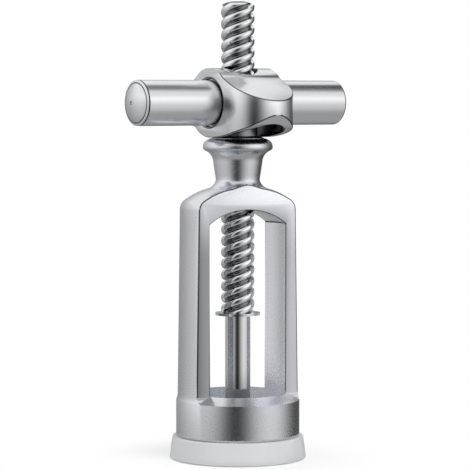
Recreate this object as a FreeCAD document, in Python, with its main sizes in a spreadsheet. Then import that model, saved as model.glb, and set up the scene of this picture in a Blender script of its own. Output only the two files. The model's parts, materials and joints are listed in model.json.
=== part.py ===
import FreeCAD, Part
import math
import os
import Sketcher

# Bell corkscrew: a frame that stands on the bottle, and a T handle whose nut
# raises and lowers a three-start spindle that carries the worm.
# Frame of the part: the origin is at the centre of the seat ring's underside,
# Z is up along the spindle, and the flats of the frame face -Y and +Y.

Vector = FreeCAD.Vector
doc = FreeCAD.newDocument("bell_corkscrew")

# Driving sizes in millimetres, degrees or counts

SIZES = [
    # Seat ring
    ("seat_height", 8.2),
    ("seat_step", 1.4),
    ("seat_flare", 0.9),
    ("seat_edge_chamfer", 0.5),
    ("seat_side_round", 98.0),
    ("seat_lip_height", 5.0),
    ("seat_lip_wall", 1.6),
    ("seat_ledge", 0.38),
    # Frame: cavity, legs and base ring
    ("cavity_radius", 17.2),
    ("leg_wall", 3.7),
    ("leg_taper", 0.85),
    ("leg_length", 63.6),
    ("leg_flare_height", 2.6),
    ("ring_step", 0.55),
    ("ring_chamfer", 1.0),
    ("ring_outer_height", 13.0),
    ("ring_top_slope", 2.4),
    ("flat_margin", 0.7),
    ("flat_foot_round", 2.6),
    ("ceiling_rise", 5.4),
    ("ceiling_round", 22.0),
    # Frame: shoulder, neck and crown, each a rise above the one before
    ("shoulder_wall", 5.2),
    ("shoulder_rise", 4.0),
    ("shoulder_inset", 2.7),
    ("shoulder_round", 4.6),
    ("slope_rise", 3.5),
    ("slope_top_radius", 10.6),
    ("slope_round", 24.0),
    ("neck_foot_rise", 3.1),
    ("neck_wall", 1.4),
    ("neck_round", 4.2),
    ("neck_length", 6.2),
    ("neck_flare", 0.95),
    ("crown_flare_rise", 4.5),
    ("crown_flare_round", 4.6),
    ("crown_wall", 2.98),
    ("crown_band", 1.9),
    ("crown_dome_rise", 2.3),
    ("crown_dome_round", 4.2),
    ("crown_rise", 0.8),
    # Crown: swivel of the handle
    ("sleeve_play", 0.21),
    ("sleeve_wall", 0.85),
    ("sleeve_flange_step", 1.15),
    ("sleeve_flange_thickness", 1.5),
    ("sleeve_grip", 4.0),
    ("thrust_thickness", 0.8),
    ("crown_ring_seat", 1.29),
    ("crown_ring_thickness", 3.4),
    ("crown_ring_overhang", 1.3),
    ("running_clearance", 0.06),
    ("end_float", 0.1),
    ("fit_clearance", 0.02),
    # Spindle guide in the neck
    ("bush_length", 6.8),
    ("bush_wall", 1.1),
    ("neck_bore_play", 0.46),
    # Spindle
    ("thread_length", 111.8),
    ("thread_radius", 6.04),
    ("thread_depth", 1.5),
    ("crest_drop", 0.28),
    ("root_rise", 0.14),
    ("thread_starts", 3),
    ("thread_pitch", 4.1),
    ("crest_share", 0.5),
    ("root_share", 0.26),
    ("thread_clearance", 0.16),
    ("tip_round_height", 1.4),
    ("tip_flat_radius", 2.2),
    ("tip_round", 9.0),
    ("spigot_length", 8.0),
    # Stop washer
    ("washer_radius", 8.1),
    ("washer_thickness", 0.9),
    # Worm
    ("stem_radius", 1.95),
    ("stem_grip", 6.6),
    ("worm_collar_play", 0.21),
    ("worm_collar_height", 3.6),
    ("worm_wire_radius", 1.3),
    ("worm_side_gap", 0.36),
    ("worm_pitch", 9.0),
    ("worm_turns", 3.5),
    ("worm_point_length", 2.6),
    ("worm_point_radius", 0.16),
    ("worm_end_gap", 6.4),
    ("worm_pin_radius", 0.6),
    ("worm_pin_drop", 5.4),
    # Sheath, as wide as the root of the thread
    ("sheath_wall", 0.48),
    ("sheath_bottom_height", 2.4),
    ("sheath_tip_plug", 1.6),
    ("sheath_tip_dome", 0.9),
    ("ring_section_radius", 0.55),
    ("ring_drop", 2.0),
    # Handle hub
    ("handle_angle", 10.0),
    ("hub_crown_gap", 0.3),
    ("hub_half_width", 12.6),
    ("hub_end_offset", 12.24),
    ("hub_crest_radius", 12.4),
    ("hub_flank_offset", 8.7),
    ("band_top", 0.8),
    ("band_drop", 4.3),
    ("belly_offset", 18.2),
    ("belly_rise", 3.1),
    ("belly_edge_round", 11.0),
    ("hub_cheek", 3.0),
    ("hub_top_wall", 2.7),
    ("hollow_end_drop", 1.5),
    ("hub_hole_play", 1.16),
    ("socket_depth", 1.5),
    ("socket_clearance", 0.6),
    ("socket_rim", 0.3),
    # Nut block
    ("nut_half_depth", 8.0),
    ("nut_top_gap", 0.3),
    ("nut_drop", 7.2),
    # Handle bars
    ("bar_radius", 8.1),
    ("bar_wall", 1.2),
    ("bar_reach", 45.4),
    ("bar_plug_length", 12.0),
    ("cap_dome_height", 2.0),
    ("cap_shoulder", 1.1),
    ("cap_shoulder_rise", 0.55),
    ("cap_shoulder_round", 1.45),
    ("cap_spigot", 6.0),
    ("cap_groove", 0.3),
    ("cap_dimple_radius", 0.45),
    ("stud_radius", 2.5),
    ("stud_nut_grip", 2.4),
    ("stud_plug_grip", 9.0),
    ("stud_washer_radius", 5.2),
    ("stud_washer_thickness", 0.4),
]

sheet = doc.addObject("Spreadsheet::Sheet", "Sizes")
for row, (alias, number) in enumerate(SIZES, start=1):
    sheet.set("A%d" % row, alias)
    sheet.set("B%d" % row, str(number))
    sheet.setAlias("B%d" % row, alias)
doc.recompute()


class Size:
    """A number of the sheet, or a sum of such numbers, with its formula."""

    def __init__(self, value, formula):
        self.value = value
        self.formula = formula

    def __add__(self, other):
        other = as_size(other)
        return Size(self.value + other.value, "(%s + %s)" % (self.formula, other.formula))

    def __sub__(self, other):
        other = as_size(other)
        return Size(self.value - other.value, "(%s - %s)" % (self.formula, other.formula))

    def __mul__(self, other):
        other = as_size(other)
        return Size(self.value * other.value, "(%s * %s)" % (self.formula, other.formula))

    def __truediv__(self, other):
        other = as_size(other)
        return Size(self.value / other.value, "(%s / %s)" % (self.formula, other.formula))

    def __neg__(self):
        return Size(-self.value, "(0 - %s)" % self.formula)

    def root(self):
        return Size(math.sqrt(self.value), "sqrt(%s)" % self.formula)


class Sizes:
    """Holds one Size for each alias of the sheet."""


def as_size(number):
    if isinstance(number, Size):
        return number
    return Size(float(number), "(%r)" % float(number))


k = Sizes()
for alias, number in SIZES:
    setattr(k, alias, Size(float(sheet.get(alias)), "Sizes." + alias))


# Helpers for sketches and bodies

def bind(thing, prop, size):
    thing.setExpression(prop, as_size(size).formula)


def place(thing, x=0, y=0, z=0, turn=None):
    """Puts a piece at a point, turned about Z, and ties both to the sheet."""
    x, y, z = as_size(x), as_size(y), as_size(z)
    angle = as_size(0 if turn is None else turn)
    spin = FreeCAD.Rotation(Vector(0, 0, 1), angle.value)
    thing.Placement = FreeCAD.Placement(Vector(x.value, y.value, z.value), spin)
    bind(thing, "Placement.Base.x", x)
    bind(thing, "Placement.Base.y", y)
    bind(thing, "Placement.Base.z", z)
    if turn is not None:
        bind(thing, "Placement.Rotation.Angle", angle)


def new_body(label):
    body = doc.addObject("PartDesign::Body", label)
    body.Label = label
    return body


def new_sketch(body, name, plane):
    sketch = body.newObject("Sketcher::SketchObject", name)
    for feature in body.Origin.OriginFeatures:
        if feature.Role == plane:
            sketch.AttachmentSupport = [(feature, "")]
    sketch.MapMode = "FlatFace"
    return sketch


def arc_centre(start, end, bend):
    """Centre of the arc from start to end; a positive bend turns left. A half
    circle has its centre midway between its ends."""
    across, up = end[0] - start[0], end[1] - start[1]
    x, y = (start[0] + end[0]) / 2, (start[1] + end[1]) / 2
    chord_squared = across * across + up * up
    reach_squared = bend * bend / chord_squared - 0.25
    if reach_squared.value < 1e-9:
        return x, y
    reach = reach_squared.root()
    if bend.value < 0:
        reach = -reach
    return x - up * reach, y + across * reach


def dome_round(half_width, rise):
    """Radius of an arc that starts level and rises so far at a half width."""
    return (half_width * half_width + rise * rise) / (rise * 2)


def draw_outline(sketch, corners, bends=None):
    """Closed chain through the corners. A corner is (x, y); bends gives the
    radius of the side that starts at a corner, positive where it turns left."""
    bends = bends or {}
    corners = [(as_size(x), as_size(y)) for x, y in corners]
    points = [Vector(x.value, y.value, 0) for x, y in corners]
    count = len(points)
    first = sketch.GeometryCount
    ends = []
    centres = {}
    for side in range(count):
        following = (side + 1) % count
        start, end = points[side], points[following]
        number = first + side
        if side not in bends:
            sketch.addGeometry(Part.LineSegment(start, end), False)
            ends.append(((number, 1), (number, 2)))
            continue
        bend = as_size(bends[side])
        x, y = arc_centre(corners[side], corners[following], bend)
        centres[side] = (x, y)
        centre = Vector(x.value, y.value, 0)
        circle = Part.Circle(centre, Vector(0, 0, 1), abs(bend.value))
        angles = [math.atan2(p.y - centre.y, p.x - centre.x) for p in (start, end)]
        if bend.value > 0:
            sketch.addGeometry(Part.ArcOfCircle(circle, angles[0], angles[1]), False)
            ends.append(((number, 1), (number, 2)))
        else:
            sketch.addGeometry(Part.ArcOfCircle(circle, angles[1], angles[0]), False)
            ends.append(((number, 2), (number, 1)))
    for side in range(count):
        sketch.addConstraint(Sketcher.Constraint("Coincident", *ends[side - 1][1], *ends[side][0]))
    for side, (x, y) in enumerate(corners):
        tie_distance(sketch, ends[side][0], "DistanceX", x)
        tie_distance(sketch, ends[side][0], "DistanceY", y)
    for side, (x, y) in centres.items():
        # One distance places a centre, which is as far from one end as from the other
        run = points[(side + 1) % count] - points[side]
        if abs(run.x) > abs(run.y):
            tie_distance(sketch, (first + side, 3), "DistanceY", y)
        else:
            tie_distance(sketch, (first + side, 3), "DistanceX", x)


def tie_distance(sketch, point, kind, size):
    """Ties a point's distance from one of the sketch's own axes."""
    if size.value == 0:
        axis = -2 if kind == "DistanceX" else -1
        sketch.addConstraint(Sketcher.Constraint("PointOnObject", *point, axis))
        return
    row = sketch.addConstraint(Sketcher.Constraint(kind, -1, 1, *point, size.value))
    bind(sketch, "Constraints[%d]" % row, size)


def turned(label, corners, bends=None, about="V_Axis"):
    """A body turned from one outline about its own upright or level axis."""
    body = new_body(label)
    sketch = new_sketch(body, label + "_outline", "XZ_Plane")
    draw_outline(sketch, corners, bends)
    spin = body.newObject("PartDesign::Revolution", label + "_turning")
    spin.Profile = sketch
    spin.ReferenceAxis = (sketch, [about])
    spin.Angle = 360.0
    return body


def ring(label, inner, outer, low, high):
    return turned(label, [(inner, low), (outer, low), (outer, high), (inner, high)])


def cylinder(label, radius, height):
    solid = doc.addObject("Part::Cylinder", label)
    solid.Label = label
    bind(solid, "Radius", radius)
    bind(solid, "Height", height)
    return solid


def level_cylinder(label, radius, start, end):
    """A cylinder along X of the handle, from start to end."""
    solid = cylinder(label, radius, end - start)
    solid.Placement = FreeCAD.Placement(Vector(start.value, 0, 0),
                                        FreeCAD.Rotation(Vector(0, 1, 0), 90))
    bind(solid, "Placement.Base.x", start)
    return solid


def cut(label, base, tools):
    """The base less all tools."""
    joined = tools[0]
    if len(tools) > 1:
        joined = doc.addObject("Part::MultiFuse", label + "_cutters")
        joined.Shapes = tools
    result = doc.addObject("Part::Cut", label)
    result.Base = base
    result.Tool = joined
    result.Label = label
    return result


def common(label, first, second):
    result = doc.addObject("Part::Common", label)
    result.Base = first
    result.Tool = second
    result.Label = label
    return result


def fixed_shape(label, shape, turn=0.0, height=0.0):
    """A sub-part whose shape is worked out here from the sheet's numbers."""
    feature = doc.addObject("Part::Feature", label)
    feature.Label = label
    feature.Shape = shape
    feature.Placement = FreeCAD.Placement(Vector(0, 0, height),
                                          FreeCAD.Rotation(Vector(0, 0, 1), turn))
    return feature


nodes = []


def keep(piece):
    nodes.append(piece)
    return piece


# Radii of the frame, worked out from the cavity outwards

leg_top_radius = k.cavity_radius + k.leg_wall
leg_foot_radius = leg_top_radius + k.leg_taper
ring_radius = leg_foot_radius + k.ring_step
seat_top_radius = ring_radius + k.seat_step
seat_bottom_radius = seat_top_radius + k.seat_flare

# Radii on the spindle's axis, worked out from the thread outwards

thread_bore_radius = k.thread_radius + k.running_clearance
bush_outer_radius = thread_bore_radius + k.bush_wall
bush_bore_radius = bush_outer_radius + k.fit_clearance
neck_bore_radius = k.thread_radius + k.neck_bore_play
neck_radius = neck_bore_radius + k.neck_wall
neck_flare_radius = neck_radius + k.neck_flare
flat_distance = neck_radius + k.flat_margin
sleeve_bore_radius = k.thread_radius + k.sleeve_play
sleeve_radius = sleeve_bore_radius + k.sleeve_wall
sleeve_flange_radius = sleeve_radius + k.sleeve_flange_step
flange_bore_radius = sleeve_flange_radius + k.running_clearance
crown_ring_radius = flange_bore_radius + k.crown_ring_seat
crown_bore_radius = crown_ring_radius + k.fit_clearance
crown_radius = crown_bore_radius + k.crown_wall

# Radii inwards from the thread: its root, the sheath, the spigot and the worm

root_radius = k.thread_radius - k.thread_depth
sheath_outer_radius = root_radius
sheath_bore_radius = sheath_outer_radius - k.sheath_wall
spigot_radius = sheath_bore_radius - k.running_clearance
worm_collar_radius = sheath_bore_radius - k.worm_collar_play
worm_coil_radius = sheath_bore_radius - k.worm_side_gap - k.worm_wire_radius

# Heights of the frame, each on the one before

ring_shoulder = k.seat_height + k.ring_outer_height
cavity_top_height = ring_shoulder + k.leg_length
ceiling_height = cavity_top_height + k.ceiling_rise
shoulder_height = cavity_top_height + k.shoulder_wall
slope_foot_height = shoulder_height + k.shoulder_rise
slope_top_height = slope_foot_height + k.slope_rise
neck_height = slope_top_height + k.neck_foot_rise
neck_flare_height = neck_height + k.neck_length
crown_height = neck_flare_height + k.crown_flare_rise
crown_shoulder_height = crown_height + k.crown_band
crown_rim_height = crown_shoulder_height + k.crown_dome_rise
handle_height = crown_rim_height + k.hub_crest_radius + k.hub_crown_gap

# Heights inside the crown, worked out from its rim downwards

ring_seat_height = crown_rim_height - k.crown_ring_thickness
flange_floor_height = ring_seat_height - k.end_float - k.sleeve_flange_thickness - k.thrust_thickness
bush_top_height = ceiling_height + k.bush_length

# Heights of the spindle, worked out from the sheath upwards

sheath_tip_top = k.sheath_bottom_height + k.sheath_tip_dome + k.sheath_tip_plug
worm_coil_top = sheath_tip_top + k.worm_end_gap + k.worm_pitch * k.worm_turns
worm_collar_top = worm_coil_top + k.worm_collar_height / 2
thread_bottom_height = worm_collar_top + k.end_float + k.spigot_length
spindle_top_height = thread_bottom_height + k.thread_length
sheath_top_height = thread_bottom_height - k.washer_thickness - k.end_float


# Seat ring: frosted plastic, with a lip inside the base ring

def make_seat_ring():
    lip_outer = k.cavity_radius - k.fit_clearance
    lip_inner = lip_outer - k.seat_lip_wall
    bore = lip_inner - k.seat_ledge
    top = k.seat_height
    rim = top - k.seat_edge_chamfer
    keep(turned("seat_ring", [
        (bore, 0),
        (seat_bottom_radius - k.seat_edge_chamfer, 0),
        (seat_bottom_radius, k.seat_edge_chamfer),
        (seat_top_radius, rim),
        (seat_top_radius - k.seat_edge_chamfer, top),
        (lip_outer, top),
        (lip_outer, top + k.seat_lip_height),
        (lip_inner, top + k.seat_lip_height),
        (lip_inner, top),
        (bore, rim),
    ], {2: k.seat_side_round, 3: k.seat_edge_chamfer}))


# Frame: one casting, turned, cut by the two flats, with the base ring whole

def make_bell_frame():
    body = new_body("bell_frame")
    shell = new_sketch(body, "bell_outline", "XZ_Plane")
    flare_top = ring_shoulder + k.leg_flare_height
    draw_outline(shell, [
        (leg_foot_radius, k.seat_height + k.ring_chamfer),
        (leg_foot_radius, ring_shoulder - k.ring_chamfer),
        (ring_radius, ring_shoulder),
        (leg_foot_radius, flare_top),
        (leg_top_radius, shoulder_height),
        (leg_top_radius - k.shoulder_inset, slope_foot_height),
        (k.slope_top_radius, slope_top_height),
        (neck_radius, neck_height),
        (neck_flare_radius, neck_flare_height),
        (crown_radius, crown_height),
        (crown_radius, crown_shoulder_height),
        (crown_bore_radius, crown_rim_height),
        (crown_bore_radius, ring_seat_height),
        (flange_bore_radius, ring_seat_height),
        (flange_bore_radius, flange_floor_height),
        (neck_bore_radius, flange_floor_height),
        (neck_bore_radius, bush_top_height),
        (bush_bore_radius, bush_top_height),
        (bush_bore_radius, ceiling_height),
        (k.cavity_radius, cavity_top_height),
        (k.cavity_radius, k.seat_height + k.ring_chamfer),
    ], {
        2: -dome_round(k.leg_flare_height, k.ring_step),
        4: k.shoulder_round,
        5: k.slope_round,
        6: -k.neck_round,
        8: -k.crown_flare_round,
        10: k.crown_dome_round,
        18: -k.ceiling_round,
    })
    spin = body.newObject("PartDesign::Revolution", "bell_turning")
    spin.Profile = shell
    spin.ReferenceAxis = (shell, ["V_Axis"])
    spin.Angle = 360.0

    # The flats, with a small round where they run out on the base ring
    round_top = ring_shoulder + k.flat_foot_round
    waste = ring_radius * 2
    for side in (1, -1):
        flats = new_sketch(body, "flat_outline_%s" % ("back" if side > 0 else "front"), "YZ_Plane")
        corners = [
            (flat_distance * side, round_top),
            ((flat_distance + k.flat_foot_round) * side, ring_shoulder),
            (waste * side, ring_shoulder),
            (waste * side, neck_height),
            (flat_distance * side, neck_height),
        ]
        draw_outline(flats, corners, {0: k.flat_foot_round * side})
        pocket = body.newObject("PartDesign::Pocket", "flat_%s" % ("back" if side > 0 else "front"))
        pocket.Profile = flats
        pocket.Type = "Length"
        pocket.SideType = "Symmetric"
        bind(pocket, "Length", waste * 2)

    # The base ring, whole all round, with a sloping top
    base = new_sketch(body, "base_ring_outline", "XZ_Plane")
    foot = k.seat_height
    draw_outline(base, [
        (k.cavity_radius, foot),
        (ring_radius - k.ring_chamfer, foot),
        (ring_radius, foot + k.ring_chamfer),
        (ring_radius, ring_shoulder),
        (k.cavity_radius, ring_shoulder + k.ring_top_slope),
    ], {1: k.ring_chamfer})
    spin = body.newObject("PartDesign::Revolution", "base_ring_turning")
    spin.Profile = base
    spin.ReferenceAxis = (base, ["V_Axis"])
    spin.Angle = 360.0
    keep(body)


# Crown and neck fittings

def make_crown_fittings():
    sleeve_low = flange_floor_height + k.thrust_thickness
    flange_high = sleeve_low + k.sleeve_flange_thickness
    sleeve_high = handle_height - k.nut_drop + k.sleeve_grip
    ring_bore = sleeve_radius + k.running_clearance
    keep(ring("thrust_washer", neck_bore_radius, sleeve_flange_radius - k.running_clearance,
              flange_floor_height, sleeve_low))
    keep(turned("swivel_sleeve", [
        (sleeve_bore_radius, sleeve_low),
        (sleeve_flange_radius, sleeve_low),
        (sleeve_flange_radius, flange_high),
        (sleeve_radius, flange_high),
        (sleeve_radius, sleeve_high),
        (sleeve_bore_radius, sleeve_high),
    ]))
    keep(turned("crown_ring", [
        (ring_bore, ring_seat_height),
        (crown_ring_radius, ring_seat_height),
        (crown_ring_radius, crown_rim_height),
        (ring_bore + k.crown_ring_overhang / 2, crown_rim_height + k.crown_rise),
        (ring_bore, crown_rim_height + k.crown_rise),
    ]))
    keep(ring("spindle_bush", thread_bore_radius, bush_outer_radius,
              ceiling_height, bush_top_height))


# Three-start thread: a lobed section that turns once in each lead

def polar(radius, degrees, height):
    angle = math.radians(degrees)
    return Vector(radius * math.cos(angle), radius * math.sin(angle), height)


def thread_section(clearance, height):
    """Section across the thread, grown by a clearance for the nut."""
    starts = int(round(k.thread_starts.value))
    share = 360.0 / starts
    crest = k.thread_radius.value + clearance
    root = root_radius.value + clearance
    crest_edge = crest - k.crest_drop.value
    root_edge = root + k.root_rise.value
    widen = math.degrees(clearance / root)
    crest_half = share * k.crest_share.value / 2 + widen
    root_half = share * k.root_share.value / 2 - widen
    edges = []
    for start in range(starts):
        middle = start * share
        valley = middle + share / 2
        crest_end = polar(crest_edge, middle + crest_half, height)
        root_start = polar(root_edge, valley - root_half, height)
        root_end = polar(root_edge, valley + root_half, height)
        next_crest = polar(crest_edge, middle + share - crest_half, height)
        edges.append(Part.Arc(polar(crest_edge, middle - crest_half, height),
                              polar(crest, middle, height), crest_end).toShape())
        edges.append(Part.makeLine(crest_end, root_start))
        edges.append(Part.Arc(root_start, polar(root, valley, height), root_end).toShape())
        edges.append(Part.makeLine(root_end, next_crest))
    return Part.Wire(edges)


def thread_solid(clearance, length):
    """The section swept up the axis from nought, one turn in each lead."""
    lead = k.thread_starts.value * k.thread_pitch.value
    spine = Part.Wire([Part.makeLine(Vector(0, 0, 0), Vector(0, 0, length))])
    guide = Part.makeHelix(lead, length, 2 * k.thread_radius.value)
    sweep = Part.BRepOffsetAPI.MakePipeShell(spine)
    sweep.setAuxiliarySpine(guide, True, 0)
    sweep.add(thread_section(clearance, 0.0))
    sweep.build()
    sweep.makeSolid()
    return sweep.shape()


def thread_phase(height):
    """How far the thread has turned at a height above its lower end."""
    lead = k.thread_starts.value * k.thread_pitch.value
    return 360.0 * (height - thread_bottom_height.value) / lead


def make_spindle():
    spare = k.thread_pitch
    low = thread_bottom_height - spare
    length = spindle_top_height + spare - low
    thread = fixed_shape("thread_blank", thread_solid(0.0, length.value),
                         thread_phase(low.value), low.value)
    edge_radius = k.thread_radius + k.fit_clearance
    top = spindle_top_height
    envelope = turned("spindle_envelope", [
        (0, thread_bottom_height),
        (edge_radius, thread_bottom_height),
        (edge_radius, top - k.tip_round_height),
        (k.tip_flat_radius, top),
        (0, top),
    ], {2: k.tip_round})
    rod = common("spindle_rod", thread, envelope)

    # Spigot below the thread, with its groove, bore and pin hole
    spigot_low = thread_bottom_height - k.spigot_length
    groove_middle = thread_bottom_height - k.washer_thickness - k.ring_drop
    groove_low = groove_middle - k.ring_section_radius
    groove_high = groove_middle + k.ring_section_radius
    groove_floor = spigot_radius - k.ring_section_radius * 2 + k.fit_clearance
    bore_top = spigot_low + k.stem_grip + k.end_float
    bore_radius = k.stem_radius + k.fit_clearance
    spigot = turned("spindle_spigot", [
        (bore_radius, spigot_low),
        (spigot_radius, spigot_low),
        (spigot_radius, groove_low),
        (groove_floor, groove_low),
        (groove_floor, groove_high),
        (spigot_radius, groove_high),
        (spigot_radius, thread_bottom_height + k.fit_clearance),
        (0, thread_bottom_height + k.fit_clearance),
        (0, bore_top),
        (bore_radius, bore_top),
    ])
    joined = doc.addObject("Part::MultiFuse", "spindle_blank")
    joined.Shapes = [rod, spigot]
    hole = level_cylinder("spindle_pin_hole", k.worm_pin_radius + k.fit_clearance,
                          -spigot_radius * 2, spigot_radius * 2)
    bind(hole, "Placement.Base.z", thread_bottom_height - k.worm_pin_drop)
    keep(cut("spindle", joined, [hole]))
    make_rubber_ring(groove_middle)


def make_rubber_ring(height):
    body = new_body("sheath_o_ring")
    sketch = new_sketch(body, "o_ring_section", "XZ_Plane")
    radius = k.ring_section_radius
    middle = spigot_radius + k.fit_clearance - radius
    corners = [(middle, height - radius), (middle, height + radius)]
    draw_outline(sketch, corners, {0: radius, 1: radius})
    spin = body.newObject("PartDesign::Revolution", "o_ring_turning")
    spin.Profile = sketch
    spin.ReferenceAxis = (sketch, ["V_Axis"])
    spin.Angle = 360.0
    keep(body)


def make_stop_washer():
    keep(ring("stop_washer", spigot_radius + k.running_clearance, k.washer_radius,
              thread_bottom_height - k.washer_thickness - k.end_float / 2,
              thread_bottom_height - k.end_float / 2))


# Worm: wire wound into an open helix below a root collar

def half_arc(start, heading, end):
    """Arc that leaves start along heading and reaches end."""
    chord = end - start
    along = Vector(chord).normalize()
    across = heading - along * heading.dot(along)
    if across.Length < 1e-9:
        return Part.makeLine(start, end)
    slope = math.atan2(across.Length, heading.dot(along))
    rise = chord.Length / 2 * math.tan(slope / 2)
    return Part.Arc(start, (start + end) * 0.5 + across.normalize() * rise, end).toShape()


def two_arcs(start, heading, end, end_heading):
    """Two arcs that meet smoothly between two points with set headings."""
    gap = end - start
    total = heading + end_heading
    spread = 2 * (1 - heading.dot(end_heading))
    reach = (-gap.dot(total) + math.sqrt(gap.dot(total) ** 2 + spread * gap.dot(gap))) / spread
    meeting = (start + heading * reach + end - end_heading * reach) * 0.5
    back = half_arc(end, end_heading * -1, meeting)
    back.reverse()
    return [half_arc(start, heading, meeting), back]


def worm_point(turn):
    """Place and heading on the helix after some turns down from its top."""
    angle = -2 * math.pi * turn
    radius = worm_coil_radius.value
    pitch = k.worm_pitch.value
    place_here = Vector(radius * math.cos(angle), radius * math.sin(angle),
                        worm_coil_top.value - pitch * turn)
    heading = Vector(radius * math.sin(angle), -radius * math.cos(angle),
                     -pitch / (2 * math.pi)).normalize()
    return place_here, heading


def make_worm():
    steps_per_turn = 4
    steps = int(round(k.worm_turns.value * steps_per_turn))
    edges = []
    for step in range(steps):
        start, heading = worm_point(step / steps_per_turn)
        end, end_heading = worm_point((step + 1) / steps_per_turn)
        edges += two_arcs(start, heading, end, end_heading)
    path = Part.Wire(edges)
    start, heading = worm_point(0)
    wire = Part.Wire([Part.makeCircle(k.worm_wire_radius.value, start, heading)])
    sweep = Part.BRepOffsetAPI.MakePipeShell(path)
    sweep.add(wire)
    sweep.build()
    sweep.makeSolid()
    coil = sweep.shape()

    # The point: a cone that carries on from the last turn
    tip, tip_heading = worm_point(steps / steps_per_turn)
    point = Part.makeCone(k.worm_wire_radius.value, k.worm_point_radius.value,
                          k.worm_point_length.value, tip, tip_heading)
    collar = Part.makeCylinder(worm_collar_radius.value, k.worm_collar_height.value,
                               Vector(0, 0, (worm_collar_top - k.worm_collar_height).value))
    stem = Part.makeCylinder(k.stem_radius.value, (k.stem_grip + k.worm_collar_height).value,
                             Vector(0, 0, (worm_collar_top - k.worm_collar_height).value))
    hole_height = (thread_bottom_height - k.worm_pin_drop).value
    reach = spigot_radius.value
    hole = Part.makeCylinder((k.worm_pin_radius + k.fit_clearance).value, 2 * reach,
                             Vector(-reach, 0, hole_height), Vector(1, 0, 0))
    shape = coil.fuse([point, collar, stem]).cut(hole)
    if shape.ShapeType == "Compound" and len(shape.Solids) == 1:
        shape = shape.Solids[0]
    keep(fixed_shape("worm", shape))
    print_worm_gap()

    pin = level_cylinder("worm_pin", k.worm_pin_radius, -spigot_radius + k.fit_clearance,
                         spigot_radius - k.fit_clearance)
    bind(pin, "Placement.Base.z", thread_bottom_height - k.worm_pin_drop)
    keep(pin)


def print_worm_gap():
    """Prints the least gap from the worm's wire to itself, half a turn on or more."""
    steps_per_turn = 48
    start = worm_point(0)[0]
    later = [worm_point(0.5 + step / steps_per_turn)[0] for step in range(steps_per_turn)]
    nearest = min((start - point).Length for point in later)
    print("least gap of the worm's wire: %.2f mm" % (nearest - 2 * k.worm_wire_radius.value))


# Sheath over the worm

def make_sheath():
    low = k.sheath_bottom_height + k.sheath_tip_dome
    keep(ring("sheath_tube", sheath_bore_radius, sheath_outer_radius, low, sheath_top_height))
    plug = sheath_bore_radius - k.fit_clearance
    keep(turned("sheath_tip", [
        (0, k.sheath_bottom_height),
        (sheath_outer_radius, low),
        (plug, low),
        (plug, sheath_tip_top),
        (0, sheath_tip_top),
    ], {0: dome_round(sheath_outer_radius, k.sheath_tip_dome)}))


# Handle hub: round cheeks with a nose at each end seen from the side, and a
# block with round ends seen from above

hub_reach = k.hub_end_offset + k.hub_half_width
hollow_half_width = k.hub_half_width - k.hub_cheek
hollow_reach = k.hub_end_offset + hollow_half_width
hollow_crest = k.hub_crest_radius - k.hub_top_wall
hollow_flank = k.hub_flank_offset * hollow_crest / k.hub_crest_radius
hollow_end_height = k.band_top - k.hollow_end_drop


def height_on(radius, offset):
    """Height of a circle about the handle's axis at an offset from it."""
    return (radius * radius - offset * offset).root()


def pad_body(label, plane, corners, bends, length, both_ways):
    """Body padded from one outline, to one side or evenly to both."""
    body = new_body(label)
    sketch = new_sketch(body, label + "_outline", plane)
    draw_outline(sketch, corners, bends)
    pad = body.newObject("PartDesign::Pad", label + "_pad")
    pad.Profile = sketch
    if both_ways:
        pad.SideType = "Symmetric"
    bind(pad, "Length", length)
    return body


def hub_side_body():
    """Side of the hub: the cheeks' circle, flanks down to both noses, and a
    full belly below the front nose."""
    flank = k.hub_flank_offset
    crest = k.hub_crest_radius
    high = height_on(crest, flank)
    belly_low = k.belly_rise - crest
    return pad_body("hub_side", "YZ_Plane", [
        (flank, high),
        (-flank, high),
        (-hub_reach, k.band_top),
        (-hub_reach, -k.band_drop),
        (-k.belly_offset, belly_low),
        (0, -crest),
        (flank, -high),
        (hub_reach, -k.band_drop),
        (hub_reach, k.band_top),
    ], {0: crest, 3: k.belly_edge_round, 4: dome_round(k.belly_offset, k.belly_rise), 5: crest},
        (k.hub_half_width + k.hub_cheek) * 2, True)


def hollow_side_body():
    """Side of the hollow: the same crest and flanks, a wall lower, open below."""
    high = height_on(hollow_crest, hollow_flank)
    low = -(k.hub_crest_radius + k.hub_cheek)
    return pad_body("hollow_side", "YZ_Plane", [
        (hollow_flank, high),
        (-hollow_flank, high),
        (-hollow_reach, hollow_end_height),
        (-hollow_reach, low),
        (hollow_reach, low),
        (hollow_reach, hollow_end_height),
    ], {0: hollow_crest}, k.hub_half_width * 2, True)


def stadium_body(label, half_width, end_offset, low, high):
    """Upright block with round ends, from low to high."""
    body = pad_body(label, "XY_Plane", [
        (half_width, -end_offset),
        (half_width, end_offset),
        (-half_width, end_offset),
        (-half_width, -end_offset),
    ], {1: half_width, 3: half_width}, high - low, False)
    bind(body, "Placement.Base.z", low)
    return body


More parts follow.
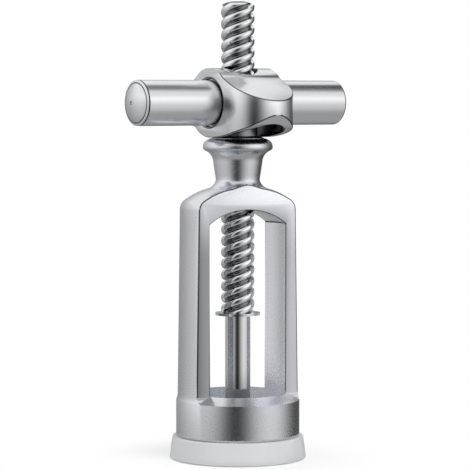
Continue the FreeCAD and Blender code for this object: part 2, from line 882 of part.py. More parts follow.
def make_hub():
    tall = k.hub_crest_radius + k.hub_half_width
    outer = common("hub_blank", hub_side_body(),
                   stadium_body("hub_plan", k.hub_half_width, k.hub_end_offset, -tall, tall))
    room = common("hub_hollow", hollow_side_body(),
                  stadium_body("hollow_plan", hollow_half_width, k.hub_end_offset, -tall, tall))
    well = cylinder("hub_spindle_hole", k.thread_radius + k.hub_hole_play, tall)
    socket_floor = k.hub_half_width - k.socket_depth
    socket_radius = k.bar_radius + k.socket_clearance
    beyond = k.hub_half_width * 2
    stud_hole = level_cylinder("hub_stud_hole", k.stud_radius + k.running_clearance,
                               -beyond, beyond)
    tools = [room, well, stud_hole]
    for side, sign in (("left", -1), ("right", 1)):
        tools.append(turned("socket_" + side, [
            (socket_floor * sign, 0),
            (beyond * sign, 0),
            (beyond * sign, socket_radius + k.socket_rim),
            (k.hub_half_width * sign, socket_radius + k.socket_rim),
            ((k.hub_half_width - k.socket_rim) * sign, socket_radius),
            (socket_floor * sign, socket_radius),
        ], about="H_Axis"))
    hub = cut("hub_shell", outer, tools)
    place(hub, z=handle_height, turn=k.handle_angle)
    keep(hub)


# Nut block: threaded on the spindle, cross-drilled for the studs

def make_drive_nut():
    half_width = hollow_half_width - k.fit_clearance
    bottom = -k.nut_drop
    # The top stays a gap below the hollow's flank at the nut's own edge
    flank_height = height_on(hollow_crest, hollow_flank)
    flank_fall = (flank_height - hollow_end_height) / (hollow_reach - hollow_flank)
    top = flank_height - (k.nut_half_depth - hollow_flank) * flank_fall - k.nut_top_gap
    block = doc.addObject("Part::Box", "nut_block")
    bind(block, "Length", half_width * 2)
    bind(block, "Width", k.nut_half_depth * 2)
    bind(block, "Height", top - bottom)
    bind(block, "Placement.Base.x", -half_width)
    bind(block, "Placement.Base.y", -k.nut_half_depth)
    bind(block, "Placement.Base.z", bottom)
    # The thread keeps the spindle's phase, whatever way the handle points
    spare = k.thread_pitch
    bore_low = bottom + k.sleeve_grip - spare
    bore_length = top + spare - bore_low
    phase = thread_phase((handle_height + bore_low).value) - k.handle_angle.value
    thread = fixed_shape("nut_thread", thread_solid(k.thread_clearance.value, bore_length.value),
                         phase, bore_low.value)
    sleeve_seat = cylinder("nut_sleeve_seat", sleeve_radius + k.fit_clearance, k.sleeve_grip)
    bind(sleeve_seat, "Placement.Base.z", bottom)
    grip = half_width - k.stud_nut_grip
    tools = [thread, sleeve_seat]
    for side, near, far in (("left", -half_width * 2, -grip), ("right", grip, half_width * 2)):
        tools.append(level_cylinder("nut_stud_hole_" + side, k.stud_radius + k.fit_clearance,
                                    near, far))
    nut = cut("drive_nut", block, tools)
    place(nut, z=handle_height, turn=k.handle_angle)
    keep(nut)


# Handle bars: tube, tapped plug, domed cap, stud and spring washer on each side

def make_bars():
    socket_floor = k.hub_half_width - k.socket_depth
    bar_start = socket_floor + k.stud_washer_thickness
    tube_bore = k.bar_radius - k.bar_wall
    dome_base = k.bar_reach - k.cap_dome_height
    cap_rim = dome_base - k.cap_shoulder_rise
    cap_base = cap_rim - k.cap_groove
    insert_radius = tube_bore - k.fit_clearance
    plug_bore = k.stud_radius + k.fit_clearance
    nut_side = hollow_half_width - k.fit_clearance
    stud_start = nut_side - k.stud_nut_grip + k.end_float
    stud_end = bar_start + k.stud_plug_grip
    dome_edge = k.bar_radius - k.cap_shoulder
    for side, turn in (("left", k.handle_angle + 180), ("right", k.handle_angle)):
        tube = turned(side + "_bar_tube", [
            (bar_start, tube_bore), (cap_base, tube_bore),
            (cap_base, k.bar_radius), (bar_start, k.bar_radius)], about="H_Axis")
        plug = turned(side + "_bar_plug", [
            (bar_start, plug_bore), (bar_start + k.bar_plug_length, plug_bore),
            (bar_start + k.bar_plug_length, insert_radius), (bar_start, insert_radius)],
            about="H_Axis")
        cap = turned(side + "_end_cap", [
            (cap_base - k.cap_spigot, 0),
            (k.bar_reach - k.cap_dimple_radius, 0),
            (k.bar_reach, k.cap_dimple_radius),
            (dome_base, dome_edge),
            (cap_rim, k.bar_radius),
            (cap_rim, k.bar_radius - k.cap_groove),
            (cap_base, k.bar_radius - k.cap_groove),
            (cap_base, insert_radius),
            (cap_base - k.cap_spigot, insert_radius)],
            {2: dome_round(dome_edge, k.cap_dome_height), 3: k.cap_shoulder_round}, about="H_Axis")
        for piece in (tube, plug, cap):
            place(piece, z=handle_height, turn=turn)
            keep(piece)
    for label, inner, outer, near, far in (
            ("handle_studs", None, k.stud_radius, stud_start, stud_end),
            ("stud_washers", k.stud_radius + k.running_clearance, k.stud_washer_radius,
             socket_floor, bar_start)):
        pair = []
        for side, low, high in (("left", -far, -near), ("right", near, far)):
            solid = level_cylinder("%s_%s" % (label, side), outer, low, high)
            if inner is not None:
                hole = level_cylinder("%s_%s_hole" % (label, side), inner, low, high)
                solid = cut("%s_%s_ring" % (label, side), solid, [hole])
            pair.append(solid)
        group = doc.addObject("Part::Compound", label)
        group.Links = pair
        group.Label = label
        place(group, z=handle_height, turn=k.handle_angle)
        keep(group)


make_seat_ring()
make_bell_frame()
make_crown_fittings()
make_spindle()
make_stop_washer()
make_worm()
make_sheath()
make_hub()
make_drive_nut()
make_bars()
doc.recompute()

# Every object is checked before anything is written

for item in doc.Objects:
    if "Invalid" in item.State or "Error" in item.State:
        raise RuntimeError("%s did not compute: %s" % (item.Label, item.State))
for piece in nodes:
    shape = piece.Shape
    if shape.isNull() or not shape.isValid() or not shape.Solids:
        raise RuntimeError("%s has no valid solid" % piece.Label)

os.makedirs("parts", exist_ok=True)
for piece in nodes:
    piece.Shape.exportStep("parts/%s.step" % piece.Label)
    box = piece.Shape.BoundBox
    print("%-16s %d solid(s) %9.1f mm3  x %.1f..%.1f  y %.1f..%.1f  z %.1f..%.1f" % (
        piece.Label, len(piece.Shape.Solids), piece.Shape.Volume,
        box.XMin, box.XMax, box.YMin, box.YMax, box.ZMin, box.ZMax))
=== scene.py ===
import math

import bmesh
import bpy
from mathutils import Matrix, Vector
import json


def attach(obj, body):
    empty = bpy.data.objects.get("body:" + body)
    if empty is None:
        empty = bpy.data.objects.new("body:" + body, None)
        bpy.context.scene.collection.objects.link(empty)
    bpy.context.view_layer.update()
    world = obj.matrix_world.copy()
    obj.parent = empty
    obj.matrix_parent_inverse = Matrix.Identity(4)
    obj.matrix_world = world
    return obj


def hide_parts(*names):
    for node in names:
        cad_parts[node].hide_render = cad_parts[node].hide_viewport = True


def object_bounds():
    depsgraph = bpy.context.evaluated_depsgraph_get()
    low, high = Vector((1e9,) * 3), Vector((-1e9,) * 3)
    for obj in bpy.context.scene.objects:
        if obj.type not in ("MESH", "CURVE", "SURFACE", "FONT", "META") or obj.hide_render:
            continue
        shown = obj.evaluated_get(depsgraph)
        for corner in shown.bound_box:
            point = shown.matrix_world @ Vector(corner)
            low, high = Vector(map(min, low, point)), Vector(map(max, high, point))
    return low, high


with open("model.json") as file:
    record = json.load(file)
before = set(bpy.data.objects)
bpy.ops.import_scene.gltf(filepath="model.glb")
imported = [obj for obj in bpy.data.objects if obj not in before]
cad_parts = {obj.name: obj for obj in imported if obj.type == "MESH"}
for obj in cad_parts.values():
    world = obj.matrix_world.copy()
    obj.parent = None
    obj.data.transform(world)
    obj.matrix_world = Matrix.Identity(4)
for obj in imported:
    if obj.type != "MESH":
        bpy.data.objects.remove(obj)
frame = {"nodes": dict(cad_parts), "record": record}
cad_box = [list(corner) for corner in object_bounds()]
nodes = frame["nodes"]
slots = {entry["node"]: entry["material_slot"] for entry in frame["record"]["subparts"]}
scene = bpy.context.scene
object_top = cad_box[1][2]

# Camera: level with the handle, a little to the left of the front flat

CAMERA_AZIMUTH = math.radians(-25.0)
CAMERA_DISTANCE = 0.846
CAMERA_HEIGHT = 0.1300
FOCAL_PIXELS = 2350.0
PICTURE_PIXELS = 470.0
SENSOR = 36.0
AIM = Vector((-0.0010, 0.0, 0.0806))


def camera_side():
    """Unit vectors towards the camera and to its right, both level."""
    towards = Vector((math.sin(CAMERA_AZIMUTH), -math.cos(CAMERA_AZIMUTH), 0.0))
    right = Vector((math.cos(CAMERA_AZIMUTH), math.sin(CAMERA_AZIMUTH), 0.0))
    return towards, right


def add_camera():
    towards, right = camera_side()
    data = bpy.data.cameras.new("camera")
    data.sensor_width = SENSOR
    data.lens = SENSOR * FOCAL_PIXELS / PICTURE_PIXELS
    data.clip_start = 0.01
    camera = bpy.data.objects.new("camera", data)
    scene.collection.objects.link(camera)
    target = right * AIM.x + Vector((0, 0, AIM.z))
    camera.location = towards * CAMERA_DISTANCE + right * AIM.x + Vector((0, 0, CAMERA_HEIGHT))
    camera.rotation_euler = (target - camera.location).to_track_quat("-Z", "Y").to_euler()
    scene.camera = camera


# Node helpers

class Wiring:
    """Adds nodes to one tree and links them."""

    def __init__(self, tree):
        self.tree = tree

    def add(self, kind, **settings):
        node = self.tree.nodes.new(kind)
        for name, value in settings.items():
            setattr(node, name, value)
        return node

    def link(self, source, target):
        self.tree.links.new(source, target)

    def maths(self, operation, first, second=None, third=None):
        node = self.add("ShaderNodeMath", operation=operation)
        for socket, value in zip(node.inputs, (first, second, third)):
            if value is None:
                continue
            if isinstance(value, (int, float)):
                socket.default_value = value
            else:
                self.link(value, socket)
        return node.outputs[0]

    def ramp(self, fac, stops, mode="EASE"):
        node = self.add("ShaderNodeValToRGB")
        node.color_ramp.interpolation = mode
        elements = node.color_ramp.elements
        while len(elements) < len(stops):
            elements.new(0.5)
        for element, (position, value) in zip(elements, stops):
            element.position = position
            colour = value if isinstance(value, tuple) else (value, value, value)
            element.color = (*colour, 1.0)
        self.link(fac, node.inputs[0])
        return node.outputs[0]

    def dot(self, vector, constant):
        node = self.add("ShaderNodeVectorMath", operation="DOT_PRODUCT")
        self.link(vector, node.inputs[0])
        node.inputs[1].default_value = constant
        return node.outputs["Value"]

    def scale(self, colour, amount):
        node = self.add("ShaderNodeVectorMath", operation="SCALE")
        self.link(colour, node.inputs[0])
        self.link(amount, node.inputs["Scale"])
        return node.outputs["Vector"]

    def blend(self, share, first, second):
        node = self.add("ShaderNodeMix", data_type="RGBA")
        for socket, value in (("Factor", share), ("A", first), ("B", second)):
            self.link(value, node.inputs[socket])
        return node.outputs["Result"]


# Places on the corkscrew: the flats' distance from the spindle's axis, then heights above the table

FLAT_DISTANCE = 0.0086
LEGS_START = 0.0240
FLATS_END = 0.1005
NECK_FOOT = 0.1010
CROWN_START = 0.1080
HUB_CENTRE = 0.1283
HUB_CREST_START = 0.1385

# World: white to the camera and through clear plastic. To the metal it is a studio,
# with soft boxes and dark cards, that shows in it.
# The belt gives the light from each level direction, in degrees to the right of the camera.

BELT = [
    (-180, 0.34), (-140, 0.40), (-112, 0.60), (-84, 0.78), (-58, 0.80), (-40, 0.62),
    (-24, 0.24), (-12, 0.03), (2, 0.02), (14, 0.18), (28, 0.52), (46, 0.86),
    (66, 0.98), (86, 0.80), (104, 0.40), (124, 0.10), (150, 0.06), (180, 0.30),
]
BELT_STRENGTH = 1.4

# How strong the belt is from straight down, at 0, past the horizon, at 0.5, and upwards

STOREYS = [(0.0, 0.30), (0.15, 0.45), (0.40, 0.58), (0.50, 0.71), (0.58, 0.90), (0.66, 1.0)]

# The ceiling's light from behind the corkscrew, at 0, to behind the camera, at 1

CEILING = [(0.0, 1.0), (0.45, 1.0), (0.7, 0.85), (1.0, 0.75)]
CEILING_EDGE = [(0.30, 0.0), (0.56, 1.0)]

# The dark card behind on the right, which hides the ceiling: its left edge, near edge and top,
# and where and how far it also dims the belt

CARD_LEFT = [(0.28, 0.0), (0.42, 1.0)]
CARD_NEAR = [(0.38, 1.0), (0.60, 0.0)]
CARD_TOP = [(0.84, 1.0), (0.92, 0.0)]
CARD_DIMMING = [(0.45, 0.0), (0.66, 1.0)]
CARD_SHADE = 0.8

# The table, as the metal sees it straight below

TABLE_TONE = (0.38, 0.38, 0.38, 1.0)
TABLE_EDGE = [(0.14, 1.0), (0.30, 0.0)]


def add_world():
    world = bpy.data.worlds.new("studio")
    scene.world = world
    world.use_nodes = True
    tree = world.node_tree
    tree.nodes.clear()
    w = Wiring(tree)
    towards, right = camera_side()
    direction = w.add("ShaderNodeTexCoord").outputs["Generated"]
    ahead = w.dot(direction, towards)
    aside = w.dot(direction, right)
    rise = w.dot(direction, (0, 0, 1))
    turn = w.maths("ARCTAN2", aside, ahead)
    share = w.maths("MULTIPLY_ADD", turn, 1 / (2 * math.pi), 0.5)
    belt = w.ramp(share, [((angle + 180) / 360, value) for angle, value in BELT], "B_SPLINE")
    ceiling = w.ramp(w.maths("MULTIPLY_ADD", ahead, 0.5, 0.5), CEILING)
    far = w.ramp(w.maths("ADD", ahead, 0.5), CARD_NEAR)
    card = w.maths("MULTIPLY", w.ramp(aside, CARD_LEFT),
                   w.maths("MULTIPLY", far, w.ramp(rise, CARD_TOP)))
    high = w.maths("MULTIPLY", w.ramp(rise, CEILING_EDGE), w.maths("SUBTRACT", 1.0, card))
    storey = w.maths("MULTIPLY_ADD", rise, 0.5, 0.5)
    level = w.maths("MULTIPLY", BELT_STRENGTH, w.ramp(storey, STOREYS, "LINEAR"))
    shaded = w.maths("MULTIPLY", card, w.ramp(rise, CARD_DIMMING))
    level = w.maths("MULTIPLY", level, w.maths("MULTIPLY_ADD", shaded, -CARD_SHADE, 1.0))
    table = w.add("ShaderNodeRGB").outputs[0]
    table.default_value = TABLE_TONE
    around = w.blend(w.ramp(storey, TABLE_EDGE), w.scale(belt, level), table)
    studio = w.add("ShaderNodeBackground")
    w.link(w.blend(high, around, ceiling), studio.inputs["Color"])
    studio.inputs["Strength"].default_value = 1.0
    paper = w.add("ShaderNodeBackground")
    paper.inputs["Color"].default_value = (1, 1, 1, 1)
    rays = w.add("ShaderNodeLightPath")
    seen = w.maths("MAXIMUM", rays.outputs["Is Camera Ray"], rays.outputs["Is Transmission Ray"])
    mix = w.add("ShaderNodeMixShader")
    w.link(seen, mix.inputs[0])
    w.link(studio.outputs[0], mix.inputs[1])
    w.link(paper.outputs[0], mix.inputs[2])
    out = w.add("ShaderNodeOutputWorld")
    w.link(mix.outputs[0], out.inputs["Surface"])


# Floor: white paper, whose shadow fades out between two distances from the spindle's axis

PAPER_RADIUS = 0.32
PAPER_TONE = (0.92, 0.92, 0.92, 1)
SHADOW_START = 0.024
SHADOW_END = 0.060
WHITE_UNDER_SHADOW = 0.45


def add_floor():
    """White paper: pure white away from the object, with a soft shadow near it.
    Mirror rays pass it, so that the metal shows the studio below the horizon too."""
    bpy.ops.mesh.primitive_circle_add(vertices=96, radius=PAPER_RADIUS, fill_type="NGON",
                                      location=(0, 0, 0))
    floor = bpy.context.active_object
    floor.name = "floor"
    material = bpy.data.materials.new("floor_paper")
    material.use_nodes = True
    tree = material.node_tree
    tree.nodes.clear()
    w = Wiring(tree)
    rough = w.add("ShaderNodeBsdfDiffuse")
    rough.inputs["Color"].default_value = PAPER_TONE
    glow = w.add("ShaderNodeEmission")
    glow.inputs["Color"].default_value = (1, 1, 1, 1)
    away = w.add("ShaderNodeVectorMath", operation="LENGTH")
    w.link(w.add("ShaderNodeTexCoord").outputs["Object"], away.inputs[0])
    spread = w.add("ShaderNodeMapRange", interpolation_type="SMOOTHSTEP")
    w.link(away.outputs["Value"], spread.inputs["Value"])
    spread.inputs["From Min"].default_value = SHADOW_START
    spread.inputs["From Max"].default_value = SHADOW_END
    spread.inputs["To Min"].default_value = WHITE_UNDER_SHADOW
    rays = w.add("ShaderNodeLightPath")
    share = w.maths("MULTIPLY", rays.outputs["Is Camera Ray"], spread.outputs["Result"])
    mix = w.add("ShaderNodeMixShader")
    w.link(share, mix.inputs[0])
    w.link(rough.outputs[0], mix.inputs[1])
    w.link(glow.outputs[0], mix.inputs[2])
    clear = w.add("ShaderNodeBsdfTransparent")
    passing = w.add("ShaderNodeMixShader")
    w.link(rays.outputs["Is Glossy Ray"], passing.inputs[0])
    w.link(mix.outputs[0], passing.inputs[1])
    w.link(clear.outputs[0], passing.inputs[2])
    out = w.add("ShaderNodeOutputMaterial")
    w.link(passing.outputs[0], out.inputs["Surface"])
    floor.data.materials.append(material)


# Lamp: its place to the right of the spindle, towards the camera and above the table

LAMP_SIDE = 0.30
LAMP_AHEAD = 0.45
LAMP_HEIGHT = 0.80
LAMP_SIZE = 0.7
LAMP_POWER = 3.8
LAMP_AIM = Vector((0, 0, 0.02))


def add_lamp():
    """A soft lamp that lights paper and plastic and doesn't show in the metal."""
    towards, right = camera_side()
    data = bpy.data.lights.new("soft_lamp", "AREA")
    data.shape = "DISK"
    data.size = LAMP_SIZE
    data.energy = LAMP_POWER
    lamp = bpy.data.objects.new("soft_lamp", data)
    scene.collection.objects.link(lamp)
    lamp.location = right * LAMP_SIDE + towards * LAMP_AHEAD + Vector((0, 0, LAMP_HEIGHT))
    lamp.rotation_euler = (LAMP_AIM - lamp.location).to_track_quat("-Z", "Y").to_euler()
    lamp.visible_glossy = False


# Surface effects shared by the materials: the fine grain's share of the gloss, the range
# in which the noises lie, how far inwards a face looks at least, and the depth of the relief

FINE_SHARE = 0.7
NOISE_LOW, NOISE_HIGH = 0.35, 0.65
LEAST_INWARD = 0.0006
RELIEF_DEPTH = 0.0001


def new_group(name, inputs, outputs):
    """A node group with number inputs, and the nodes for its inputs and outputs."""
    group = bpy.data.node_groups.new(name, "ShaderNodeTree")
    for title, value in inputs:
        socket = group.interface.new_socket(name=title, in_out="INPUT",
                                            socket_type="NodeSocketFloat")
        socket.default_value = value
    for title, kind in outputs:
        group.interface.new_socket(name=title, in_out="OUTPUT", socket_type=kind)
    w = Wiring(group)
    return group, w, w.add("NodeGroupInput"), w.add("NodeGroupOutput")


def make_grain_group():
    """Fine pearl grain and broad soft unevenness, for plated metal."""
    group, w, given, out = new_group(
        "pearl_grain",
        [("Grain Scale", 2600.0), ("Cloud Scale", 45.0), ("Rough Low", 0.25), ("Rough High", 0.33)],
        [("Roughness", "NodeSocketFloat"), ("Height", "NodeSocketFloat"),
         ("Tint", "NodeSocketFloat")])
    place = w.add("ShaderNodeTexCoord").outputs["Object"]
    grain = w.add("ShaderNodeTexNoise", noise_dimensions="3D")
    w.link(place, grain.inputs["Vector"])
    w.link(given.outputs["Grain Scale"], grain.inputs["Scale"])
    grain.inputs["Detail"].default_value = 2.0
    cloud = w.add("ShaderNodeTexNoise", noise_dimensions="3D")
    w.link(place, cloud.inputs["Vector"])
    w.link(given.outputs["Cloud Scale"], cloud.inputs["Scale"])
    cloud.inputs["Detail"].default_value = 3.0
    both = w.maths("MULTIPLY_ADD", grain.outputs["Fac"], FINE_SHARE,
                   w.maths("MULTIPLY", cloud.outputs["Fac"], 1.0 - FINE_SHARE))
    spread = w.add("ShaderNodeMapRange")
    w.link(both, spread.inputs["Value"])
    spread.inputs["From Min"].default_value = NOISE_LOW
    spread.inputs["From Max"].default_value = NOISE_HIGH
    w.link(given.outputs["Rough Low"], spread.inputs["To Min"])
    w.link(given.outputs["Rough High"], spread.inputs["To Max"])
    w.link(spread.outputs["Result"], out.inputs["Roughness"])
    w.link(grain.outputs["Fac"], out.inputs["Height"])
    w.link(cloud.outputs["Fac"], out.inputs["Tint"])
    return group


def make_inward_group():
    """Mask of the faces that look towards a centre on the upright axis."""
    group, w, given, out = new_group(
        "inward_mask", [("Centre Height", 0.0), ("Upright Share", 0.0)],
        [("Mask", "NodeSocketFloat")])
    place = w.add("ShaderNodeTexCoord")
    centre = w.add("ShaderNodeCombineXYZ")
    w.link(given.outputs["Centre Height"], centre.inputs["Z"])
    inwards = w.add("ShaderNodeVectorMath", operation="SUBTRACT")
    w.link(centre.outputs[0], inwards.inputs[0])
    w.link(place.outputs["Object"], inwards.inputs[1])
    share = w.add("ShaderNodeCombineXYZ")
    share.inputs["X"].default_value = 1.0
    share.inputs["Y"].default_value = 1.0
    w.link(given.outputs["Upright Share"], share.inputs["Z"])
    weighted = w.add("ShaderNodeVectorMath", operation="MULTIPLY")
    w.link(inwards.outputs[0], weighted.inputs[0])
    w.link(share.outputs[0], weighted.inputs[1])
    facing = w.add("ShaderNodeVectorMath", operation="DOT_PRODUCT")
    w.link(weighted.outputs[0], facing.inputs[0])
    w.link(place.outputs["Normal"], facing.inputs[1])
    w.link(w.maths("GREATER_THAN", facing.outputs["Value"], LEAST_INWARD), out.inputs["Mask"])
    return group


GRAIN = make_grain_group()
INWARD = make_inward_group()


def surface(name, colour, rough, grain_scale, bump, tint):
    """A Principled material with grain in its colour, gloss and relief."""
    material = bpy.data.materials.new(name)
    material.use_nodes = True
    w = Wiring(material.node_tree)
    shader = material.node_tree.nodes["Principled BSDF"]
    grain = w.add("ShaderNodeGroup", node_tree=GRAIN)
    grain.inputs["Grain Scale"].default_value = grain_scale
    grain.inputs["Rough Low"].default_value = rough[0]
    grain.inputs["Rough High"].default_value = rough[1]
    w.link(grain.outputs["Roughness"], shader.inputs["Roughness"])
    low = tuple(channel * (1 - tint) for channel in colour)
    w.link(w.ramp(grain.outputs["Tint"], [(NOISE_LOW, low), (NOISE_HIGH, colour)]),
           shader.inputs["Base Color"])
    relief = w.add("ShaderNodeBump")
    relief.inputs["Strength"].default_value = bump
    relief.inputs["Distance"].default_value = RELIEF_DEPTH
    w.link(grain.outputs["Height"], relief.inputs["Height"])
    w.link(relief.outputs["Normal"], shader.inputs["Normal"])
    return material, shader


def metal(name, colour, rough, grain_scale=2600.0, bump=0.02):
    """Plated or turned metal."""
    material, shader = surface(name, colour, rough, grain_scale, bump, tint=0.02)
    shader.inputs["Metallic"].default_value = 1.0
    return material


def tone(material, factor):
    """Multiplies a material's colour by a factor that changes over the surface."""
    shader = material.node_tree.nodes["Principled BSDF"]
    socket = shader.inputs["Base Color"]
    w = Wiring(material.node_tree)
    colour = socket.links[0].from_socket
    w.link(w.scale(colour, factor), socket)


def by_height(w, stops):
    """A ramp over the first decimetre above the table, with its stops in decimetres."""
    at = w.add("ShaderNodeSeparateXYZ")
    w.link(w.add("ShaderNodeTexCoord").outputs["Object"], at.inputs[0])
    return w.ramp(w.maths("MULTIPLY", at.outputs["Z"], 10.0), stops)


# The flats: how near their plane and how squarely a face lies that belongs to them,
# their width, the painted shade on them and the painted light across them and up to the arch,
# and how much less the arch gains where the side is bright already

FLAT_TOLERANCE = 0.0006
FLAT_SQUARENESS = 0.9
FLAT_WIDTH = 0.044
FLAT_PAINTED_SHADE = 0.52
FLAT_PAINTED_LIGHT_ACROSS = [(0.15, 0.0), (0.95, 0.30)]
FLAT_PAINTED_LIGHT_UPWARDS = [(0.72, 0.0), (0.95, 0.60)]
ARCH_LOSS = 1.5


def paint_shade_on_flats(material):
    """Painted shade on the two milled flats: their colour is darkened, most towards negative x and
    low down, and painted lighter towards positive x and up to the arch.
    """
    w = Wiring(material.node_tree)
    place = w.add("ShaderNodeTexCoord")
    at = w.add("ShaderNodeSeparateXYZ")
    w.link(place.outputs["Object"], at.inputs[0])
    facing = w.add("ShaderNodeSeparateXYZ")
    w.link(place.outputs["Normal"], facing.inputs[0])
    x, y, z = at.outputs
    depth = w.maths("ABSOLUTE", y)
    on_plane = w.maths("COMPARE", depth, FLAT_DISTANCE, FLAT_TOLERANCE)
    square_on = w.maths("GREATER_THAN", w.maths("ABSOLUTE", facing.outputs["Y"]), FLAT_SQUARENESS)
    below_neck = w.maths("LESS_THAN", z, NECK_FOOT)
    mask = w.maths("MULTIPLY", on_plane, w.maths("MULTIPLY", square_on, below_neck))
    side = w.ramp(w.maths("MULTIPLY_ADD", x, 1 / FLAT_WIDTH, 0.5), FLAT_PAINTED_LIGHT_ACROSS)
    arch = by_height(w, FLAT_PAINTED_LIGHT_UPWARDS)
    shaded = w.maths("MULTIPLY", arch, w.maths("MULTIPLY_ADD", side, -ARCH_LOSS, 1.0))
    flat_shade_factor = w.maths("ADD", w.maths("ADD", side, shaded), FLAT_PAINTED_SHADE)
    factor = w.add("ShaderNodeMix", data_type="FLOAT")
    w.link(mask, factor.inputs["Factor"])
    factor.inputs["A"].default_value = 1.0
    w.link(flat_shade_factor, factor.inputs["B"])
    tone(material, factor.outputs["Result"])
    return material


def paint_light_and_shade_inside(material, centre_height, upright_share, factor):
    """Painted light and shade on the hollow side of a shell: its colour times a factor, which
    paints light above 1 and shade below 1.
    """
    w = Wiring(material.node_tree)
    inward = w.add("ShaderNodeGroup", node_tree=INWARD)
    inward.inputs["Centre Height"].default_value = centre_height
    inward.inputs["Upright Share"].default_value = upright_share
    tone(material, w.maths("MULTIPLY_ADD", inward.outputs["Mask"], factor - 1.0, 1.0))
    return material


MATT_INSIDE = [(0.22, 0.60), (0.42, 0.0)]


def leave_the_foot_matt(material):
    """The hollow side is more matt low in the base ring, which keeps it pale there."""
    w = Wiring(material.node_tree)
    inward = w.add("ShaderNodeGroup", node_tree=INWARD)
    matt = w.maths("MULTIPLY", inward.outputs["Mask"], by_height(w, MATT_INSIDE))
    shader = material.node_tree.nodes["Principled BSDF"]
    w.link(w.maths("SUBTRACT", 1.0, matt), shader.inputs["Metallic"])
    return material


# Painted shade on the thread: its brightness from its grooves to its crests, by radius in
# centimetres

THREAD_GROOVE_SHADE = [(0.455, 0.22), (0.48, 0.50), (0.52, 0.95), (0.60, 1.0)]


def paint_shade_in_grooves(material):
    """Painted shade in the thread's grooves: darker towards the root, full brightness at the
    crests.
    """
    w = Wiring(material.node_tree)
    place = w.add("ShaderNodeTexCoord").outputs["Object"]
    level = w.add("ShaderNodeVectorMath", operation="MULTIPLY")
    w.link(place, level.inputs[0])
    level.inputs[1].default_value = (1, 1, 0)
    radius = w.add("ShaderNodeVectorMath", operation="LENGTH")
    w.link(level.outputs["Vector"], radius.inputs[0])
    tone(material, w.ramp(w.maths("MULTIPLY", radius.outputs["Value"], 100.0), THREAD_GROOVE_SHADE,
                          "LINEAR"))
    return material


# Painted shade on the sheath, from its foot upwards, by height in decimetres
SHEATH_FOOT_SHADE = [(0.22, 0.55), (0.34, 1.0)]


def paint_shade_at_foot(material):
    """Painted shade: the sheath darkens towards its lower end, where it stands in the ring, as in
    the photograph.
    """
    tone(material, by_height(Wiring(material.node_tree), SHEATH_FOOT_SHADE))
    return material


def plastic(name, colour, rough):
    """Moulded plastic with a slight grain."""
    material, shader = surface(name, colour, rough, grain_scale=1800.0, bump=0.05, tint=0.04)
    shader.inputs["IOR"].default_value = 1.46
    return material


def frosted(name, colour, rough):
    """Milky plastic that lets some light through and glows a little inside."""
    material, shader = surface(name, colour, rough, grain_scale=1500.0, bump=0.06, tint=0.03)
    shader.inputs["IOR"].default_value = 1.46
    shader.inputs["Transmission Weight"].default_value = 0.35
    shader.inputs["Subsurface Weight"].default_value = 0.4
    shader.inputs["Subsurface Radius"].default_value = (1.0, 1.0, 1.0)
    shader.inputs["Subsurface Scale"].default_value = 0.003
    return material


def handle_plating(name):
    """The satin plating of the hub and the bars."""
    return metal(name, (0.79, 0.80, 0.825), (0.20, 0.27), bump=0.012)


def frame_plating():
    """The satin plating of the frame, with painted light on its hollow side and painted shade on
    the flats.
    """
    outside = metal("satin_frame_plating", (0.735, 0.755, 0.795), (0.22, 0.30), bump=0.012)
    inside = paint_light_and_shade_inside(paint_shade_on_flats(outside), centre_height=0.0, upright_share=0.0, factor=1.25)
    return leave_the_foot_matt(inside)


def polished(name):
    """Bright steel with hardly any grain."""
    return metal(name, (0.80, 0.81, 0.83), (0.05, 0.09), grain_scale=900.0, bump=0.01)


MATERIALS = {
    "satin_frame": frame_plating(),
    "satin_handle": handle_plating("satin_handle_plating"),
    "polished_steel": polished("polished_steel"),
    "turned_steel": metal("turned_steel", (0.40, 0.405, 0.42), (0.28, 0.40)),
    "black_steel": metal("blackened_steel", (0.03, 0.03, 0.035), (0.35, 0.5)),
    "bronze": metal("bearing_bronze", (0.55, 0.38, 0.20), (0.3, 0.42)),
    "guide_plastic": plastic("guide_plastic", (0.05, 0.05, 0.055), (0.4, 0.5)),
    "frosted_plastic": frosted("frosted_plastic", (0.86, 0.87, 0.89), (0.42, 0.52)),
    "rubber": plastic("black_rubber", (0.02, 0.02, 0.02), (0.6, 0.75)),
}

# Finishes of single pieces, with painted shade in the thread's grooves, at the sheath's foot
# and inside the hub, and of the dark line along an edge, which is painted shade

THREAD = paint_shade_in_grooves(
    metal("thread_painted_groove_shade", (0.86, 0.87, 0.88), (0.06, 0.11), grain_scale=900.0, bump=0.01))
SHEATH = paint_shade_at_foot(polished("sheath_steel"))
# Painted shade: the hub's hollow side is darkened to a small share of its colour
HUB_SHADED_INSIDE = paint_light_and_shade_inside(
    handle_plating("hub_plating_painted_shade"), centre_height=HUB_CENTRE, upright_share=1.0, factor=0.13)
EDGE_SHADE_LINE = metal("edge_painted_shade", (0.17, 0.172, 0.178), (0.16, 0.24))


# Pieces with their sharp edges rounded: how far, in how many steps, which edges by their
# turn in degrees and the height of their tops, and whether they get the dark line of painted shade

CROWN_LIP = {"width": 0.00090, "segments": 4, "turn": 25,
             "low": CROWN_START, "high": object_top, "shade_lined": False}
FRAME_EDGES = {"width": 0.00036, "segments": 2, "turn": 32,
               "low": LEGS_START, "high": FLATS_END, "shade_lined": True}
HUB_EDGES = {"width": 0.00030, "segments": 2, "turn": 32,
             "low": 0.0, "high": HUB_CREST_START, "shade_lined": True}
CAP_EDGES = {"width": 0.00025, "segments": 2, "turn": 25,
             "low": 0.0, "high": object_top, "shade_lined": True}
MERGE_DISTANCE = 0.000001
SAME_PLANE = math.radians(0.05)
SMOOTH_UP_TO = math.radians(28)


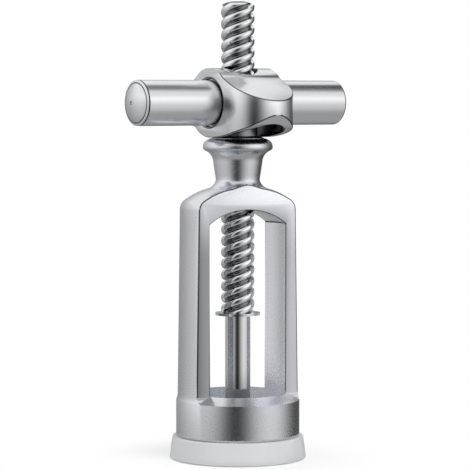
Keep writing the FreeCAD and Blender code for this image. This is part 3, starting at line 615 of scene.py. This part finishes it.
def mark_corners(mesh, turn, low, high):
    """Marks the edges that turn by more than an angle and have their tops between two heights."""
    shape = bmesh.new()
    shape.from_mesh(mesh)
    layers = shape.edges.layers.float
    weight = layers.get("bevel_weight_edge") or layers.new("bevel_weight_edge")
    for edge in shape.edges:
        top = max(end.co.z for end in edge.verts)
        turns = len(edge.link_faces) == 2 and edge.calc_face_angle() > math.radians(turn)
        edge[weight] = 1.0 if turns and low <= top <= high else 0.0
    shape.to_mesh(mesh)
    shape.free()


def round_corners(piece, width, segments, turn, low, high, shade_lined):
    """Rounds a piece's sharp edges, in its own finish or as a dark line of painted shade."""
    mark_corners(piece.data, turn, low, high)
    edge = piece.modifiers.new("edge", "BEVEL")
    edge.width = width
    edge.segments = segments
    edge.limit_method = "WEIGHT"
    edge.use_clamp_overlap = False
    edge.loop_slide = False
    edge.material = 1 if shade_lined else 0
    bpy.ops.object.modifier_apply(modifier=edge.name)


def rounded_copy(node_name, body, finish, *rounds):
    """A copy of a node, merged and with its corners rounded, that stands for it."""
    for other in bpy.context.selected_objects:
        other.select_set(False)
    piece = nodes[node_name].copy()
    piece.data = nodes[node_name].data.copy()
    piece.name = node_name + "_rounded"
    scene.collection.objects.link(piece)
    piece.select_set(True)
    bpy.context.view_layer.objects.active = piece
    bpy.ops.object.mode_set(mode="EDIT")
    bpy.ops.mesh.select_all(action="SELECT")
    bpy.ops.mesh.customdata_custom_splitnormals_clear()
    bpy.ops.mesh.remove_doubles(threshold=MERGE_DISTANCE)
    bpy.ops.mesh.dissolve_limited(angle_limit=SAME_PLANE)
    bpy.ops.object.mode_set(mode="OBJECT")
    piece.data.materials.clear()
    piece.data.materials.append(finish)
    piece.data.materials.append(EDGE_SHADE_LINE)
    for edges in rounds:
        round_corners(piece, **edges)
    bpy.ops.object.shade_smooth_by_angle(angle=SMOOTH_UP_TO)
    piece.select_set(False)
    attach(piece, body)
    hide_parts(node_name)


def dress_nodes():
    """Gives every node the finish of its slot, and the spindle and sheath their own."""
    for name, node in nodes.items():
        node.data.materials.clear()
        node.data.materials.append(MATERIALS[slots[name]])
    nodes["spindle"].data.materials[0] = THREAD
    nodes["sheath_tube"].data.materials[0] = SHEATH


scene.view_settings.view_transform = "Standard"
add_camera()
add_world()
add_floor()
add_lamp()
dress_nodes()
rounded_copy("bell_frame", "frame", MATERIALS["satin_frame"], CROWN_LIP, FRAME_EDGES)
rounded_copy("hub_shell", "handle", HUB_SHADED_INSIDE, HUB_EDGES)
for cap in ("left_end_cap", "right_end_cap"):
    rounded_copy(cap, "handle", MATERIALS["satin_handle"], CAP_EDGES)
